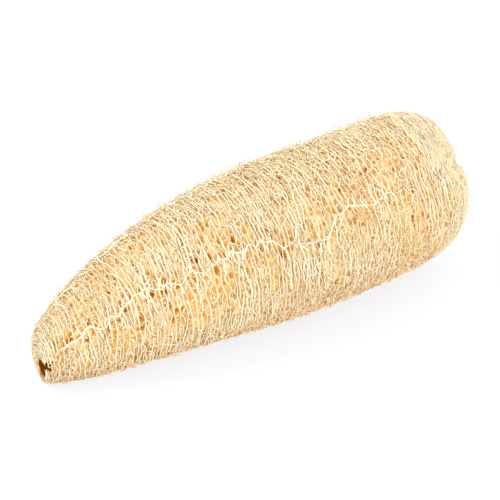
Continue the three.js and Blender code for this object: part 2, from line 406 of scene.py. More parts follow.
def in_slit(points):
    """How far points are inside the torn mouth: 0 at its edge, 1.25 radii out, and less outside."""
    apart = np.linalg.norm(points[..., None, :] - slit_middles, axis=-1) / slit[:, 2]
    return np.clip(1.25 - apart, -1, 1).max(-1)


core_skin = under_skin(core_run, core_angle, np.zeros(len(core_run)), 0)
torn = in_slit(core_skin)
core_points = core_points + np.maximum(torn, 0)[:, None] * SLIT_PUSH
# Painted shade: full inside the torn mouth, fading just outside its edge.
painted_shade = np.maximum(painted_shade, np.clip(1 + 2 * torn, 0, 1))
in_canal = core_row < CANAL_ROWS
canal_share = np.clip(core_row / CANAL_ROWS, 0, 1)
canal_radius = CANAL_RADIUS * np.sqrt(np.clip(core_row / CANAL_END_ROWS, 0, 1))
mouth = np.array(spine(0.0)) + form_shift
canal_points = np.stack(
    [
        mouth[0] + CANAL_INSET + CANAL_LENGTH * (1 - canal_share),
        mouth[1] + canal_radius * np.cos(core_angle),
        mouth[2] + canal_radius * np.sin(core_angle),
    ],
    -1,
)
core_points = np.where(in_canal[:, None], canal_points, core_points)
core.data.vertices.foreach_set("co", core_points.ravel())
core.data.update()
bpy.ops.object.mode_set(mode="EDIT")
bpy.ops.mesh.select_all(action="SELECT")
bpy.ops.mesh.normals_make_consistent(inside=False)
bpy.ops.object.mode_set(mode="OBJECT")
bpy.ops.object.shade_smooth()
# Painted shade: the seed canal and the core's first rows round it are painted fully dark.
painted_shade = np.where(core_row <= CANAL_ROWS + 2, 1, painted_shade)
core.data.attributes.new("painted_shade", "FLOAT", "POINT").data.foreach_set("value", painted_shade)


def linear(hex_colour):
    """An sRGB hex colour as Blender's linear RGBA."""
    channels = [int(hex_colour[i : i + 2], 16) / 255 for i in (1, 3, 5)]
    return [c / 12.92 if c <= 0.04045 else ((c + 0.055) / 1.055) ** 2.4 for c in channels] + [1.0]


def add_node(tree, kind, inputs=None, **settings):
    """Adds a node: settings are its own values, and inputs are values or links by socket."""
    added = tree.nodes.new(kind)
    for name, value in settings.items():
        setattr(added, name, value)
    for socket, value in (inputs or {}).items():
        if isinstance(value, bpy.types.NodeSocket):
            tree.links.new(value, added.inputs[socket])
        else:
            added.inputs[socket].default_value = value
    return added


# Dried pulp fibre is matt and straw-coloured, a little golden in patches. Painted shade turns it golden to
# brown in the pores, the seed canal and the torn mouth.
pulp = bpy.data.materials.new("dried_gourd_pulp_fibre")
pulp.use_nodes = True
tree = pulp.node_tree
shader = tree.nodes["Principled BSDF"]
shader.inputs["Roughness"].default_value = 0.95
shader.inputs["Specular IOR Level"].default_value = 0.0
place = add_node(tree, "ShaderNodeTexCoord").outputs["Object"]
PULP_PATCH = 0.004
patches = add_node(tree, "ShaderNodeTexNoise", {"Vector": place, "Scale": 1 / PULP_PATCH, "Detail": 4.0})
# The painted shade of the pores, the seed canal and the torn mouth turns the tone towards brown.
dark = add_node(tree, "ShaderNodeAttribute", attribute_name="painted_shade")
uneven = add_node(tree, "ShaderNodeMath", {0: patches.outputs["Fac"], 1: 0.3}, operation="MULTIPLY")
shade = add_node(tree, "ShaderNodeMath", {0: dark.outputs["Fac"], 1: uneven.outputs[0]}, operation="ADD")
tones = add_node(tree, "ShaderNodeValToRGB", {"Fac": shade.outputs[0]})
PULP_TONES_AND_PAINTED_SHADE = [(0.12, "#f6dea8"), (0.42, "#dfad5d"), (0.75, "#b97b2e"), (1.0, "#6a350c")]
for place_on_ramp, _ in PULP_TONES_AND_PAINTED_SHADE[1:3]:
    tones.color_ramp.elements.new(place_on_ramp)
for element, (place_on_ramp, hex_colour) in zip(tones.color_ramp.elements, PULP_TONES_AND_PAINTED_SHADE):
    element.position = place_on_ramp
    element.color = linear(hex_colour)
tree.links.new(tones.outputs["Color"], shader.inputs["Base Color"])
PULP_GRAIN = 0.0012
grain = add_node(tree, "ShaderNodeTexNoise", {"Vector": place, "Scale": 1 / PULP_GRAIN, "Detail": 3.0})
bump = add_node(
    tree,
    "ShaderNodeBump",
    {"Height": grain.outputs["Fac"], "Strength": 0.6, "Distance": PULP_GRAIN / 2},
)
tree.links.new(bump.outputs["Normal"], shader.inputs["Normal"])
core.data.materials.append(pulp)
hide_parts("loofah_sponge")
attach(core, "root")


# Deep net: the innermost strands that can be told apart, golden dried fibre. They are hoops that grew round
# the gourd just above the core, and part round the pores.
MAP_MARGIN = 0.06


def grow(name, strands, material, sides=3):
    """Strands as one mesh. A strand is its points, its radii, whether it is closed and its tint."""
    bpy.ops.object.select_all(action="DESELECT")
    bpy.ops.curve.primitive_bezier_circle_add(radius=1)
    section = bpy.context.object
    section.data.splines.clear()
    ring = section.data.splines.new("POLY")
    ring.points.add(sides - 1)
    ring.use_cyclic_u = True
    for corner, point in enumerate(ring.points):
        turn = 2 * math.pi * corner / sides
        point.co = (math.cos(turn), math.sin(turn), 0, 1)
    curve = bpy.data.curves.new(name, "CURVE")
    curve.dimensions = "3D"
    curve.bevel_mode = "OBJECT"
    curve.bevel_object = section
    for points, radii, closed, _ in strands:
        spline = curve.splines.new("POLY")
        spline.points.add(len(points) - 1)
        spline.points.foreach_set("co", np.column_stack([points, np.ones(len(points))]).ravel())
        spline.points.foreach_set("radius", np.ascontiguousarray(radii))
        spline.use_cyclic_u = closed
    piece = bpy.data.objects.new(name, curve)
    bpy.context.scene.collection.objects.link(piece)
    bpy.ops.object.select_all(action="DESELECT")
    piece.select_set(True)
    bpy.context.view_layer.objects.active = piece
    bpy.ops.object.convert(target="MESH")
    bpy.data.objects.remove(section)
    mesh = piece.data
    counts = [sides * len(points) for points, _, _, _ in strands]
    tint = np.repeat([tint for _, _, _, tint in strands], counts)
    mesh.attributes.new("tint", "FLOAT", "POINT").data.foreach_set("value", tint)
    # Each strand gets a cell of its own on a map for baking.
    columns = max(1, round(math.sqrt(6 * sides * len(strands) ** 2 / sum(counts))))
    rows = math.ceil(len(strands) / columns)
    bake_map = mesh.uv_layers[0]
    bake_map.name = "OFBake"
    uv = np.empty(2 * len(mesh.loops))
    bake_map.data.foreach_get("uv", uv)
    uv = uv.reshape(-1, 2)
    corner_points = np.empty(len(mesh.loops), int)
    mesh.loops.foreach_get("vertex_index", corner_points)
    strand_of = np.repeat(np.arange(len(strands)), counts)[corner_points]
    uv = MAP_MARGIN + (1 - 2 * MAP_MARGIN) * uv
    uv[:, 0] = (strand_of % columns + uv[:, 0]) / columns
    uv[:, 1] = (strand_of // columns + uv[:, 1]) / rows
    bake_map.data.foreach_set("uv", uv.ravel())
    bpy.ops.object.mode_set(mode="EDIT")
    bpy.ops.mesh.select_all(action="SELECT")
    bpy.ops.mesh.remove_doubles(threshold=2e-6)
    bpy.ops.mesh.normals_make_consistent(inside=False)
    bpy.ops.object.mode_set(mode="OBJECT")
    bpy.ops.object.shade_smooth()
    mesh.materials.append(material)
    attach(piece, "root")
    return piece


# Painted shade: small dark specks stand for the shade between the strands where inner fibre falls away,
# fewer of them on the crown.
SHADE_SPECK = 0.0016
SHADE_SPECK_COLOUR = "#7d4c18"
SHADE_SPECK_SHARE_CROWN = 0.35


def shade_specked(tree, place, colour, share):
    """A colour with specks of painted shade, as a socket. The share is how much of the colour a speck
    covers.
    """
    shade_specks = add_node(tree, "ShaderNodeTexNoise", {"Vector": place, "Scale": 1 / SHADE_SPECK, "Detail": 1.0})
    where = add_node(
        tree,
        "ShaderNodeMapRange",
        {"Value": shade_specks.outputs["Fac"], "From Min": 0.60, "From Max": 0.67, "To Max": share},
    )
    mixed = add_node(
        tree,
        "ShaderNodeMix",
        {"Factor": where.outputs[0], 6: colour, 7: linear(SHADE_SPECK_COLOUR)},
        data_type="RGBA",
    )
    return mixed.outputs[2]


# Low down the fibre is a deeper straw, the more so the lower it lies. The heights of the body's middle at
# two places along it tell how low a strand lies.
LOW_DOWN_COLOUR = "#e8b46a"
MIDDLE_AT = (-0.15, 0.03)
MIDDLE_HEIGHT = (0.018, 0.052)
STREAK = 0.0035
FIBRE_GRAIN = 0.0004


def fibre(name, pale, dark, roughness, shade_specks=0.0, low_down_share=0.6):
    """Dried plant fibre: matt, streaked between a pale and a darker colour by each strand's tint. It is a
    deeper straw low down and has specks of painted shade.
    """
    material = bpy.data.materials.new(name)
    material.use_nodes = True
    tree = material.node_tree
    shader = tree.nodes["Principled BSDF"]
    shader.inputs["Roughness"].default_value = roughness
    shader.inputs["Specular IOR Level"].default_value = 0.12
    place = add_node(tree, "ShaderNodeTexCoord").outputs["Object"]
    streak = add_node(tree, "ShaderNodeTexNoise", {"Vector": place, "Scale": 1 / STREAK, "Detail": 3.0})
    tint = add_node(tree, "ShaderNodeAttribute", attribute_name="tint").outputs["Fac"]
    both = add_node(tree, "ShaderNodeMath", {0: streak.outputs["Fac"], 1: tint}, operation="ADD")
    share = add_node(
        tree,
        "ShaderNodeMapRange",
        {"Value": both.outputs[0], "From Min": 0.3, "From Max": 1.4},
    )
    colour = add_node(
        tree,
        "ShaderNodeMix",
        {"Factor": share.outputs[0], 6: linear(pale), 7: linear(dark)},
        data_type="RGBA",
    )
    where = add_node(tree, "ShaderNodeSeparateXYZ", {"Vector": place}).outputs
    middle = add_node(
        tree,
        "ShaderNodeMapRange",
        {
            "Value": where["X"],
            "From Min": MIDDLE_AT[0],
            "From Max": MIDDLE_AT[1],
            "To Min": MIDDLE_HEIGHT[0],
            "To Max": MIDDLE_HEIGHT[1],
        },
    )
    height = add_node(tree, "ShaderNodeMath", {0: where["Z"], 1: middle.outputs[0]}, operation="DIVIDE")
    # A deeper straw from just below the body's middle down.
    low = add_node(
        tree,
        "ShaderNodeMapRange",
        {"Value": height.outputs[0], "From Min": 0.95, "From Max": 0.2, "To Max": low_down_share},
    )
    low_down_tinted = add_node(
        tree,
        "ShaderNodeMix",
        {"Factor": low.outputs[0], 6: colour.outputs[2], 7: linear(LOW_DOWN_COLOUR)},
        data_type="RGBA",
    )
    # Painted shade: dark specks, fewer of them on the crown.
    fewer = add_node(
        tree,
        "ShaderNodeMapRange",
        {
            "Value": where["X"],
            "From Min": 0.08,
            "From Max": 0.13,
            "To Min": shade_specks,
            "To Max": SHADE_SPECK_SHARE_CROWN * shade_specks,
        },
    )
    shade_speckled = shade_specked(tree, place, low_down_tinted.outputs[2], fewer.outputs[0])
    tree.links.new(shade_speckled, shader.inputs["Base Color"])
    grain = add_node(tree, "ShaderNodeTexNoise", {"Vector": place, "Scale": 1 / FIBRE_GRAIN, "Detail": 2.0})
    bump = add_node(
        tree,
        "ShaderNodeBump",
        {"Height": grain.outputs["Fac"], "Strength": 0.4, "Distance": FIBRE_GRAIN / 4},
    )
    tree.links.new(bump.outputs["Normal"], shader.inputs["Normal"])
    return material


# Hoops wander along the body in long waves, sway in short ones, and are pressed together beside a pore.
WANDER = 0.0020
SWAY = 0.35
SWAY_STEP = 0.009
PORE_WALL = 0.0011
SLIT_EDGE = 0.1
HOOP_RUNS = (0.003, SKIN_RUN - 0.004)
SKIN_RUNS = (0.001, SKIN_RUN - 0.001)
HOOP_CALM = ([0, 0.04, 0.27, SKIN_RUN], [0.5, 1, 1, 0.3])
HOOP_SPACING = ([0, 0.06, 0.28, SKIN_RUN], [1.2, 1, 1, 0.85])
wander = drift(21, 9, 18)


def parted(run, angle, share):
    """A hoop's runs, pushed out of the pores it would cross and closed up in the walls beside them."""
    near = pores[np.abs(pores[:, 0] - run.mean()) < 0.011]
    middle = run[np.rint(near[:, 1] / (2 * np.pi) * len(run)).astype(int) % len(run)]
    side = np.where(middle >= near[:, 0], 1, -1)
    around = turned(angle[:, None] - near[:, 1]) * girth_radius(near[:, 0])
    across = side * (run[:, None] - near[:, 0])
    along = np.clip(around / near[:, 3], -1, 1)
    half = share * near[:, 2] * (1 - along**2) ** 0.6
    reach = near[:, 2] + PORE_WALL
    moved = np.where(across < reach, half * (1 - across / reach), 0)
    return run + (side * moved).sum(1)


def hoop_net(pitch, share, step, seed):
    """A layer's hoops, as runs and angles, which part round the pores."""
    rng = np.random.default_rng(seed)
    hoops = []
    start = HOOP_RUNS[0]
    while start < HOOP_RUNS[1]:
        girth = 2 * np.pi * girth_radius(start)
        count = max(32, int(girth / step))
        angle = np.linspace(0, 2 * np.pi, count, endpoint=False)
        calm = np.interp(start, *HOOP_CALM)
        bends = rng.normal(0, SWAY * pitch, max(6, int(girth / SWAY_STEP)))
        sway = np.interp(angle, np.arange(len(bends)) * 2 * np.pi / len(bends), bends, period=2 * np.pi)
        sway = (np.roll(sway, 1) + 2 * sway + np.roll(sway, -1)) / 4
        run = start + calm * (sway + WANDER * wander(start, angle))
        hoops.append((np.clip(parted(run, angle, share), *SKIN_RUNS), angle))
        start += pitch * rng.uniform(0.6, 1.4) * np.interp(start, *HOOP_SPACING)
    return hoops


def pointed(count):
    """Radii that close a strand at both ends."""
    shares = np.ones(count)
    shares[[0, -1]] = 0.001
    return shares


def hoop_strands(hoops, radius, depth, uneven, seed):
    """Hoops as strands, uneven in thickness and depth. One that meets the torn mouth ends at its edge."""
    rng = np.random.default_rng(seed)
    depth_drift = drift(seed + 1, 30, 150)
    thick_drift = drift(seed + 2, 34, 170)
    strands = []
    for run, angle in hoops:
        thick = radius * (1 + 0.45 * thick_drift(run, angle)) * rng.uniform(0.85, 1.15)
        thick = thick * np.interp(run, [0, 0.03], [0.65, 1])
        sink = depth + uneven * depth_drift(run, angle)
        whole = in_slit(under_skin(run, angle, np.zeros(len(run)), 0)) < SLIT_EDGE
        points = under_skin(run, angle, sink, thick)
        tint = rng.uniform(0, 1)
        if whole.all():
            strands.append((points, thick, True, tint))
        elif whole.sum() > 4:
            order = np.roll(np.arange(len(run)), -1 - np.flatnonzero(~whole)[-1])
            order = order[whole[order]]
            strands.append((points[order], thick[order] * pointed(len(order)), False, tint))
    return strands


DEEP_PITCH = 0.0027
DEEP_STEP = 0.0022
DEEP_PARTING = 0.95
DEEP_RADIUS = 0.00030
DEEP_DEPTH = 0.0018
DEEP_UNEVEN = 0.0006
deep_hoops = hoop_net(DEEP_PITCH, DEEP_PARTING, DEEP_STEP, seed=100)
deep_strands = hoop_strands(deep_hoops, DEEP_RADIUS, DEEP_DEPTH, DEEP_UNEVEN, seed=110)
# The golden fibre has specks of painted shade.
grow("deep_net", deep_strands, fibre("golden_gourd_fibre", "#fceabc", "#f5d592", 0.8, shade_specks=0.8))


# Outer net: strands of dried fibre that grew round the cells, as edges between neighbours, and on through
# the knots where they meet. Cream ones lie outside, with straw-coloured ones under them as walls. Each layer
# is made as two pieces, one towards the tip and one towards the crown.
OUTER_DEPTH = 0.0004
OUTER_UNEVEN = 0.0007
OUTER_RADIUS = 0.00046
CELL_ASPECTS = ([0.02, 0.07, 0.17, 0.20, 0.265, 0.29], [2.0, 2.7, 2.7, 1.9, 1.9, 2.7])
KNOT_STEP = 0.0018
WALL_DEPTH = 0.0007
WALL_LEAN = 0.0004
CELL_PULL = 0.75
SEAM = 0.9
# On the flat map below, a cell keeps its shape at every girth. A strip beside the seam, where the angle
# jumps from half a turn to minus half a turn, is on the map twice.
aspects = np.interp(outline_run, *CELL_ASPECTS)
flat_run = np.cumsum(aspects * np.gradient(outline_run) / np.maximum(outline_radius, LEAST_GIRTH))
seeds = np.column_stack([np.interp(cells[:, 0], outline_run, flat_run), turned(cells[:, 1])])
last_strip = seeds[:, 1] > np.pi - SEAM
first_strip = seeds[:, 1] < SEAM - np.pi
flat_aspect = np.interp(cells[:, 0], outline_run, aspects)
flat_girth = np.maximum(girth_radius(cells[:, 0]), LEAST_GIRTH)
pulls = CELL_PULL * flat_aspect * cells[:, 2] * cells[:, 3] / flat_girth**2
pulls = np.concatenate([pulls, pulls[last_strip], pulls[first_strip]])
whole_turn = np.array([0, 2 * np.pi])
seeds = np.concatenate([seeds, seeds[last_strip] - whole_turn, seeds[first_strip] + whole_turn])
# A knot is where three neighbouring cells meet: the wider a cell, the further it pushes its knots away.
triangulated = delaunay_2d_cdt([Vector(seed) for seed in seeds], [], [], 0, 1e-9)
corners = np.array([list(vert) for vert in triangulated[0]])
triangles = np.array(triangulated[2])
a = corners[triangles[:, 0]]
ab = corners[triangles[:, 1]] - a
ac = corners[triangles[:, 2]] - a
twice = 2 * (ab[:, 0] * ac[:, 1] - ab[:, 1] * ac[:, 0])
corner_pulls = pulls[[origins[0] for origins in triangulated[3]]][triangles]
ab_square = (ab**2).sum(1) - corner_pulls[:, 1] + corner_pulls[:, 0]
ac_square = (ac**2).sum(1) - corner_pulls[:, 2] + corner_pulls[:, 0]
knot_along = (ac[:, 1] * ab_square - ab[:, 1] * ac_square) / twice
knot_round = (ab[:, 0] * ac_square - ac[:, 0] * ab_square) / twice
knots = a + np.column_stack([knot_along, knot_round])
knots[:, 0] = np.interp(knots[:, 0], flat_run, outline_run, left=-1, right=-1)
# A link joins the knots of two triangles that share a side. Knots that are on the map twice become one.
NET_RUNS = (0.0025, SKIN_RUN - 0.004)
SAME_KNOT = 1e-6
sides = np.sort(triangles[:, [0, 1, 1, 2, 2, 0]].reshape(-1, 2), 1)
side_key = sides[:, 0] * len(corners) + sides[:, 1]
order = np.argsort(side_key, kind="stable")
paired = np.flatnonzero(side_key[order][1:] == side_key[order][:-1])
links = np.column_stack([order[paired], order[paired + 1]]) // 3
inside = (knots[:, 0] > NET_RUNS[0]) & (knots[:, 0] < NET_RUNS[1])
middle_angle = knots[links, 1].mean(1)
links = links[inside[links].all(1) & (middle_angle >= -np.pi) & (middle_angle < np.pi)]
knots[:, 1] = turned(knots[:, 1])
rounded = np.rint(knots / SAME_KNOT).astype(int)
_, first, same = np.unique(rounded, axis=0, return_index=True, return_inverse=True)
links = first[same.ravel()[links]]
links = links[links[:, 0] != links[:, 1]]
start_angle = knots[links[:, 0], 1]
middle_angle = start_angle + turned(knots[links[:, 1], 1] - start_angle) / 2
link_middle = under_skin(knots[links, 0].mean(1), middle_angle, np.zeros(len(links)), 0)
links = links[in_slit(link_middle) < 0.25]
at_knot = [[] for _ in knots]
for link, (start, end) in enumerate(links):
    at_knot[start].append(link)
    at_knot[end].append(link)
# At each knot the two straightest strands are one, and the third ends there.
goes_on = {}
for knot, meeting in enumerate(at_knot):
    if len(meeting) < 2:
        continue
    ways = []
    for link in meeting:
        start, end = links[link]
        other = end if start == knot else start
        along = knots[other, 0] - knots[knot, 0]
        around = turned(knots[other, 1] - knots[knot, 1]) * girth_radius(knots[knot, 0])
        ways.append(np.array([along, around]) / (np.hypot(along, around) + 1e-9))
    pairs = [(ways[i] @ ways[j], i, j) for i in range(len(ways)) for j in range(i)]
    _, i, j = min(pairs)
    goes_on[knot, meeting[i]] = meeting[j]
    goes_on[knot, meeting[j]] = meeting[i]
chains = []
used = np.zeros(len(links), bool)


def walked(link, knot):
    """The knots of a strand from one knot on, along a first link."""
    chain = [knot]
    while link is not None and not used[link]:
        used[link] = True
        start, end = links[link]
        knot = end if start == knot else start
        chain.append(knot)
        link = goes_on.get((knot, link))
    return chain


for link, (start, end) in enumerate(links):
    if (start, link) not in goes_on and not used[link]:
        chains.append(walked(link, start))
    elif (end, link) not in goes_on and not used[link]:
        chains.append(walked(link, end))
for link, (start, end) in enumerate(links):
    if not used[link]:
        chains.append(walked(link, start))
smoothed = knots.copy()
for chain in chains:
    if len(chain) > 2:
        path = np.column_stack([knots[chain, 0], np.unwrap(knots[chain, 1])])
        smoothed[chain[1:-1]] = (path[:-2] + 5 * path[1:-1] + path[2:]) / 7
# The strands are drawn as smooth curves through their knots, thinner at the tip, thicker beside a vein and
# where they run round the girth.
SHORTEST_STRAND = 0.0004
SLIM_AT_TIP = ([0.01, 0.06], [0.7, 1])
VEIN_SIDE = 0.0015
CALM_AT_CROWN = ([0.26, 0.30], [1, 0.4])
WALL_THICKER = 1.1
WALL_CLEARANCE = 1.15
TIP_PIECE_RUN = 0.17
net_rng = np.random.default_rng(300)
sink_drift = drift(310, 30, 150)
thick_drift = drift(311, 40, 190)
net_strands = []
wall_strands = []
for chain in chains:
    path = np.column_stack([smoothed[chain, 0], np.unwrap(smoothed[chain, 1])])
    ahead = np.diff(path, axis=0)
    steps = np.hypot(ahead[:, 0], ahead[:, 1] * girth_radius(path[:-1, 0]))
    if steps.sum() < SHORTEST_STRAND:
        continue
    before = np.concatenate([[path[0] - ahead[0]], path[:-2], [path[-2]]])[: len(path) - 1]
    after = np.concatenate([path[2:], [path[-1] + ahead[-1]]])
    points = []
    for first, second, third, fourth, step in zip(before, path[:-1], path[1:], after, steps):
        parts = max(1, round(step / KNOT_STEP))
        share = np.arange(parts)[:, None] / parts
        points.append(
            second
            + 0.5 * share * (third - first)
            + share**2 * (first - 2.5 * second + 2 * third - 0.5 * fourth)
            + 0.5 * share**3 * (3 * (second - third) + fourth - first)
        )
    path = np.concatenate(points + [path[-1:]])
    run = np.clip(path[:, 0], *SKIN_RUNS)
    angle = path[:, 1]
    beside = np.min([np.hypot(*beside_vein(bends, run, angle)) for bends in veins], 0)
    thick = OUTER_RADIUS * (1 + 0.35 * thick_drift(run, angle)) * net_rng.uniform(0.75, 1.2)
    thick = thick * np.interp(run, *SLIM_AT_TIP) * (1 + 0.3 * np.exp(-((beside / VEIN_SIDE) ** 2)))
    round_it = np.gradient(angle) * girth_radius(run)
    heading = np.abs(round_it) / np.hypot(round_it, np.gradient(run))
    thick = thick * (0.72 + 0.33 * heading) * (1.05 - 0.25 * openness(run, angle))
    ends = pointed(len(run))
    sink = OUTER_DEPTH + OUTER_UNEVEN * np.interp(run, *CALM_AT_CROWN) * sink_drift(run, angle)
    points = under_skin(run, angle, sink, thick)
    net_strands.append((run.mean(), (points, thick * ends, False, net_rng.uniform(0, 1))))
    run = np.clip(run + net_rng.uniform(-WALL_LEAN, WALL_LEAN), *SKIN_RUNS)
    angle = angle + net_rng.uniform(-WALL_LEAN, WALL_LEAN) / np.maximum(girth_radius(run), 2 * LEAST_GIRTH)
    wall_sink = sink + WALL_DEPTH * net_rng.uniform(0.7, 1.3)
    points = under_skin(run, angle, wall_sink, WALL_CLEARANCE * thick)
    wall = (points, WALL_THICKER * thick * ends, False, net_rng.uniform(0, 1))
    wall_strands.append((run.mean(), wall))
# The straw fibre of the walls has specks of painted shade.
cream = fibre("cream_gourd_fibre", "#eee0c6", "#e9d6b0", 0.7)
straw = fibre("straw_gourd_fibre", "#fbefcb", "#f5e1b0", 0.75, shade_specks=0.7)
for layer, strands, material in (("inner_net", wall_strands, straw), ("outer_net", net_strands, cream)):
    grow(layer + "_tip", [strand for run, strand in strands if run < TIP_PIECE_RUN], material)
    grow(layer + "_crown", [strand for run, strand in strands if run >= TIP_PIECE_RUN], material)


# Ladder rungs: short thin fibres that grew across the narrower cells, side by side like rungs. The widest
# cells are windows, which rungs and loose threads leave clear.
WINDOW_WIDTH = 0.001
windows = cells[cells[:, 2] > WINDOW_WIDTH]


def in_window(run, angle):
    """Whether each of many threads, one in a row, crosses one of the widest cells."""
    crosses = np.zeros(len(run), bool)
    for middle, middle_angle, wide, length, _ in windows:
        near = np.flatnonzero(np.abs(run - middle).min(1) < wide)
        around = turned(angle[near] - middle_angle) * girth_radius(middle) / length
        across = (run[near] - middle) / wide
        crosses[near] |= (across**2 + around**2).min(1) < 0.6
    return crosses


def thin_strands(rng, paths, radii, tints):
    """Strands along paths, each with a radius and a tint of its own."""
    strands = []
    for path in paths:
        thick = rng.uniform(*radii) * pointed(len(path))
        strands.append((path, thick, False, rng.uniform(*tints)))
    return strands


RUNGS = 6500
RUNG_STEP = 0.0014
RUNG_RUN = 0.02
RUNG_CELL_SHARE = 0.7
RUNG_OVERLAP = 0.0003
RUNG_SINKS = (0.0, 0.0006)
RUNG_RADII = (0.00015, 0.00024)
THREAD_CLEARANCE = 0.0003
rung_shares = np.array([-1, -0.85, 0.85, 1])
rung_rng = np.random.default_rng(260)
rung_places = []
has_rungs = rung_rng.uniform(0, 1, len(cells)) < RUNG_CELL_SHARE
has_rungs &= (cells[:, 0] > RUNG_RUN) & (cells[:, 2] < WINDOW_WIDTH)
for run, angle, wide, length, _ in cells[has_rungs]:
    place = -length + RUNG_STEP * rung_rng.uniform(0.3, 1)
    sunk_by = rung_rng.uniform(*RUNG_SINKS)
    while place < length:
        rung_places.append((run, angle, wide + RUNG_OVERLAP, place, rung_rng.uniform(-0.4, 0.4), sunk_by))
        place += RUNG_STEP * rung_rng.uniform(0.7, 1.4)
rung_places = np.array(rung_places)
rung_places = rung_places[rung_rng.permutation(len(rung_places))[:RUNGS]]
run, angle, wide, place, lean, sunk_by = rung_places.T[:, :, None]
across = wide * rung_shares
rung_angle = angle + (place + lean * across) / girth_radius(run)
rung_run = np.clip(run + across, *SKIN_RUNS)
rung_depth = np.broadcast_to(OUTER_DEPTH + sunk_by, rung_run.shape)
rung_points = under_skin(rung_run, rung_angle, rung_depth, THREAD_CLEARANCE)
rung_strands = thin_strands(rung_rng, rung_points, RUNG_RADII, (0, 0.8))
grow("ladder_rungs", rung_strands, fibre("fine_gourd_fibre", "#f7ebcf", "#efdab0", 0.75))


# Veins: the thicker strands along the body, of the palest and densest fibre. They grew in uneven arcs from
# bend to bend, thick in some places and thin and deeper in others, and are held by the hoops they cross.
VEIN_RADIUS = 0.00052
VEIN_POINT_STEP = 0.0009
VEIN_SAG = 0.0014
VEIN_DEPTH = 0.0005
VEIN_UNEVEN = 0.0003
VEIN_DIVE = 0.0009
VEIN_SWELL = 0.45
VEIN_CLEARANCE = 0.0008
vein_drift = drift(321, 9, 26)
vein_strands = []
for bends in veins:
    run = np.arange(bends[0, 0], bends[-1, 0], VEIN_POINT_STEP)
    between = np.interp(run, bends[:, 0], np.arange(len(bends)))
    sag = vein_rng.uniform(-VEIN_SAG, VEIN_SAG, len(bends))[between.astype(int)]
    angle = np.radians(np.interp(run, bends[:, 0], bends[:, 1]))
    angle = angle + sag * np.sin(np.pi * (between - np.floor(between))) / girth_radius(run)
    thick = VEIN_RADIUS * (0.75 + 0.5 * np.abs(np.cos(np.pi * between)) ** 4)
    slimmer_at = [run[0], run[0] + 0.01, 0.06, 0.10, run[-1]]
    swell = vein_drift(run, angle)
    thick = thick * np.interp(run, slimmer_at, [0.6, 1.2, 1.2, 0.8, 0.6]) * (1 + VEIN_SWELL * swell)
    sink = VEIN_DEPTH + VEIN_UNEVEN * sink_drift(run, angle) + VEIN_DIVE * np.maximum(-swell, 0)
    points = under_skin(run, angle, sink, VEIN_CLEARANCE)
    vein_strands.append((points, thick * pointed(len(run)), False, 0.1))
# Branches leave the veins at their bends and run out into the net.
BRANCH_SHARE = 0.5
BRANCH_REACH = (0.004, 0.011)
BRANCH_LEAN = 0.6
BRANCH_TURN = 0.4
BRANCH_DEPTH = 0.0004
BRANCH_DIVE = 0.0003
branch_shares = np.linspace(0, 1, 7)
branch_rng = np.random.default_rng(320)
for bends in veins:
    for bend_run, bend_degrees in bends[1:-1]:
        for side in (-1, 1):
            reach = branch_rng.uniform(*BRANCH_REACH)
            lean = branch_rng.uniform(-BRANCH_LEAN, BRANCH_LEAN)
            turn = branch_rng.uniform(-BRANCH_TURN, BRANCH_TURN)
            if branch_rng.uniform() > BRANCH_SHARE:
                continue
            run = bend_run + reach * (lean * branch_shares + turn * branch_shares**2)
            angle = math.radians(bend_degrees) + side * reach * branch_shares / girth_radius(bend_run)
            thick = VEIN_RADIUS * branch_rng.uniform(0.75, 1.15) * (1 - 0.5 * branch_shares)
            points = under_skin(run, angle, BRANCH_DEPTH + BRANCH_DIVE * branch_shares, VEIN_CLEARANCE)
            vein_strands.append((points, thick * pointed(len(run)), False, 0.15))
grow("veins", vein_strands, fibre("white_vein_fibre", "#f8eeda", "#f3e5c9", 0.65), sides=6)


# Fine hoops and crossing threads: thin cream fibres that lie on the net. Fine hoops go round the girth where
# the net is close, and crossing threads lie in all headings, most of all at the tip and on the mouth's rim.
# They are ends of the net's own fibre, caught between its strands.
def threads(run, angle, heading, length, curl, shares):
    """Runs and angles along threads that set out from their places. Heading 0 is round the girth."""
    ahead = length * shares
    aside = length * curl * shares**2
    along = ahead * np.sin(heading) + aside * np.cos(heading)
    round_it = ahead * np.cos(heading) - aside * np.sin(heading)
    turn = round_it / np.maximum(girth_radius(run), 2 * LEAST_GIRTH)
    return np.clip(run + along, *SKIN_RUNS), angle + turn


def scattered(rng, count, first=0.0, last=SKIN_RUN):
    """Runs and angles of places spread evenly over the skin between two runs."""
    between = (outline_run >= first) & (outline_run <= last)
    girths = np.where(between, outline_radius * np.gradient(outline_run), 0)
    run = np.interp(rng.uniform(0, 1, count), np.cumsum(girths) / girths.sum(), outline_run)
    return run[:, None], rng.uniform(0, 2 * np.pi, count)[:, None]


FELT_POINTS = 7
FELT_SINKS = (0.0, 0.0009)
FELT_END_DIVE = 0.0006


def felt(rng, count, first, last, slant, longest, radius):
    """Threads that lie on the net between two runs, each in a heading of its own."""
    shares = np.linspace(0, 1, FELT_POINTS)
    run, angle = scattered(rng, count, first, last)
    heading = (rng.choice([0, np.pi], count) + rng.normal(0, slant, count))[:, None]
    length = rng.uniform(0.4, 1, count)[:, None] * longest
    run, angle = threads(run, angle, heading, length, rng.uniform(-0.5, 0.5, count)[:, None], shares)
    depth = rng.uniform(*FELT_SINKS, count)[:, None] + FELT_END_DIVE * (2 * shares - 1) ** 2
    points = under_skin(run, angle, depth, THREAD_CLEARANCE)
    points = points[(in_slit(points).max(1) < SLIT_EDGE) & ~in_window(run, angle)]
    return thin_strands(rng, points, (0.6 * radius, radius), (0, 1))


felt_rng = np.random.default_rng(380)
felt_strands = felt(felt_rng, count=1300, first=0.01, last=0.31, slant=0.6, longest=0.012, radius=0.00024)

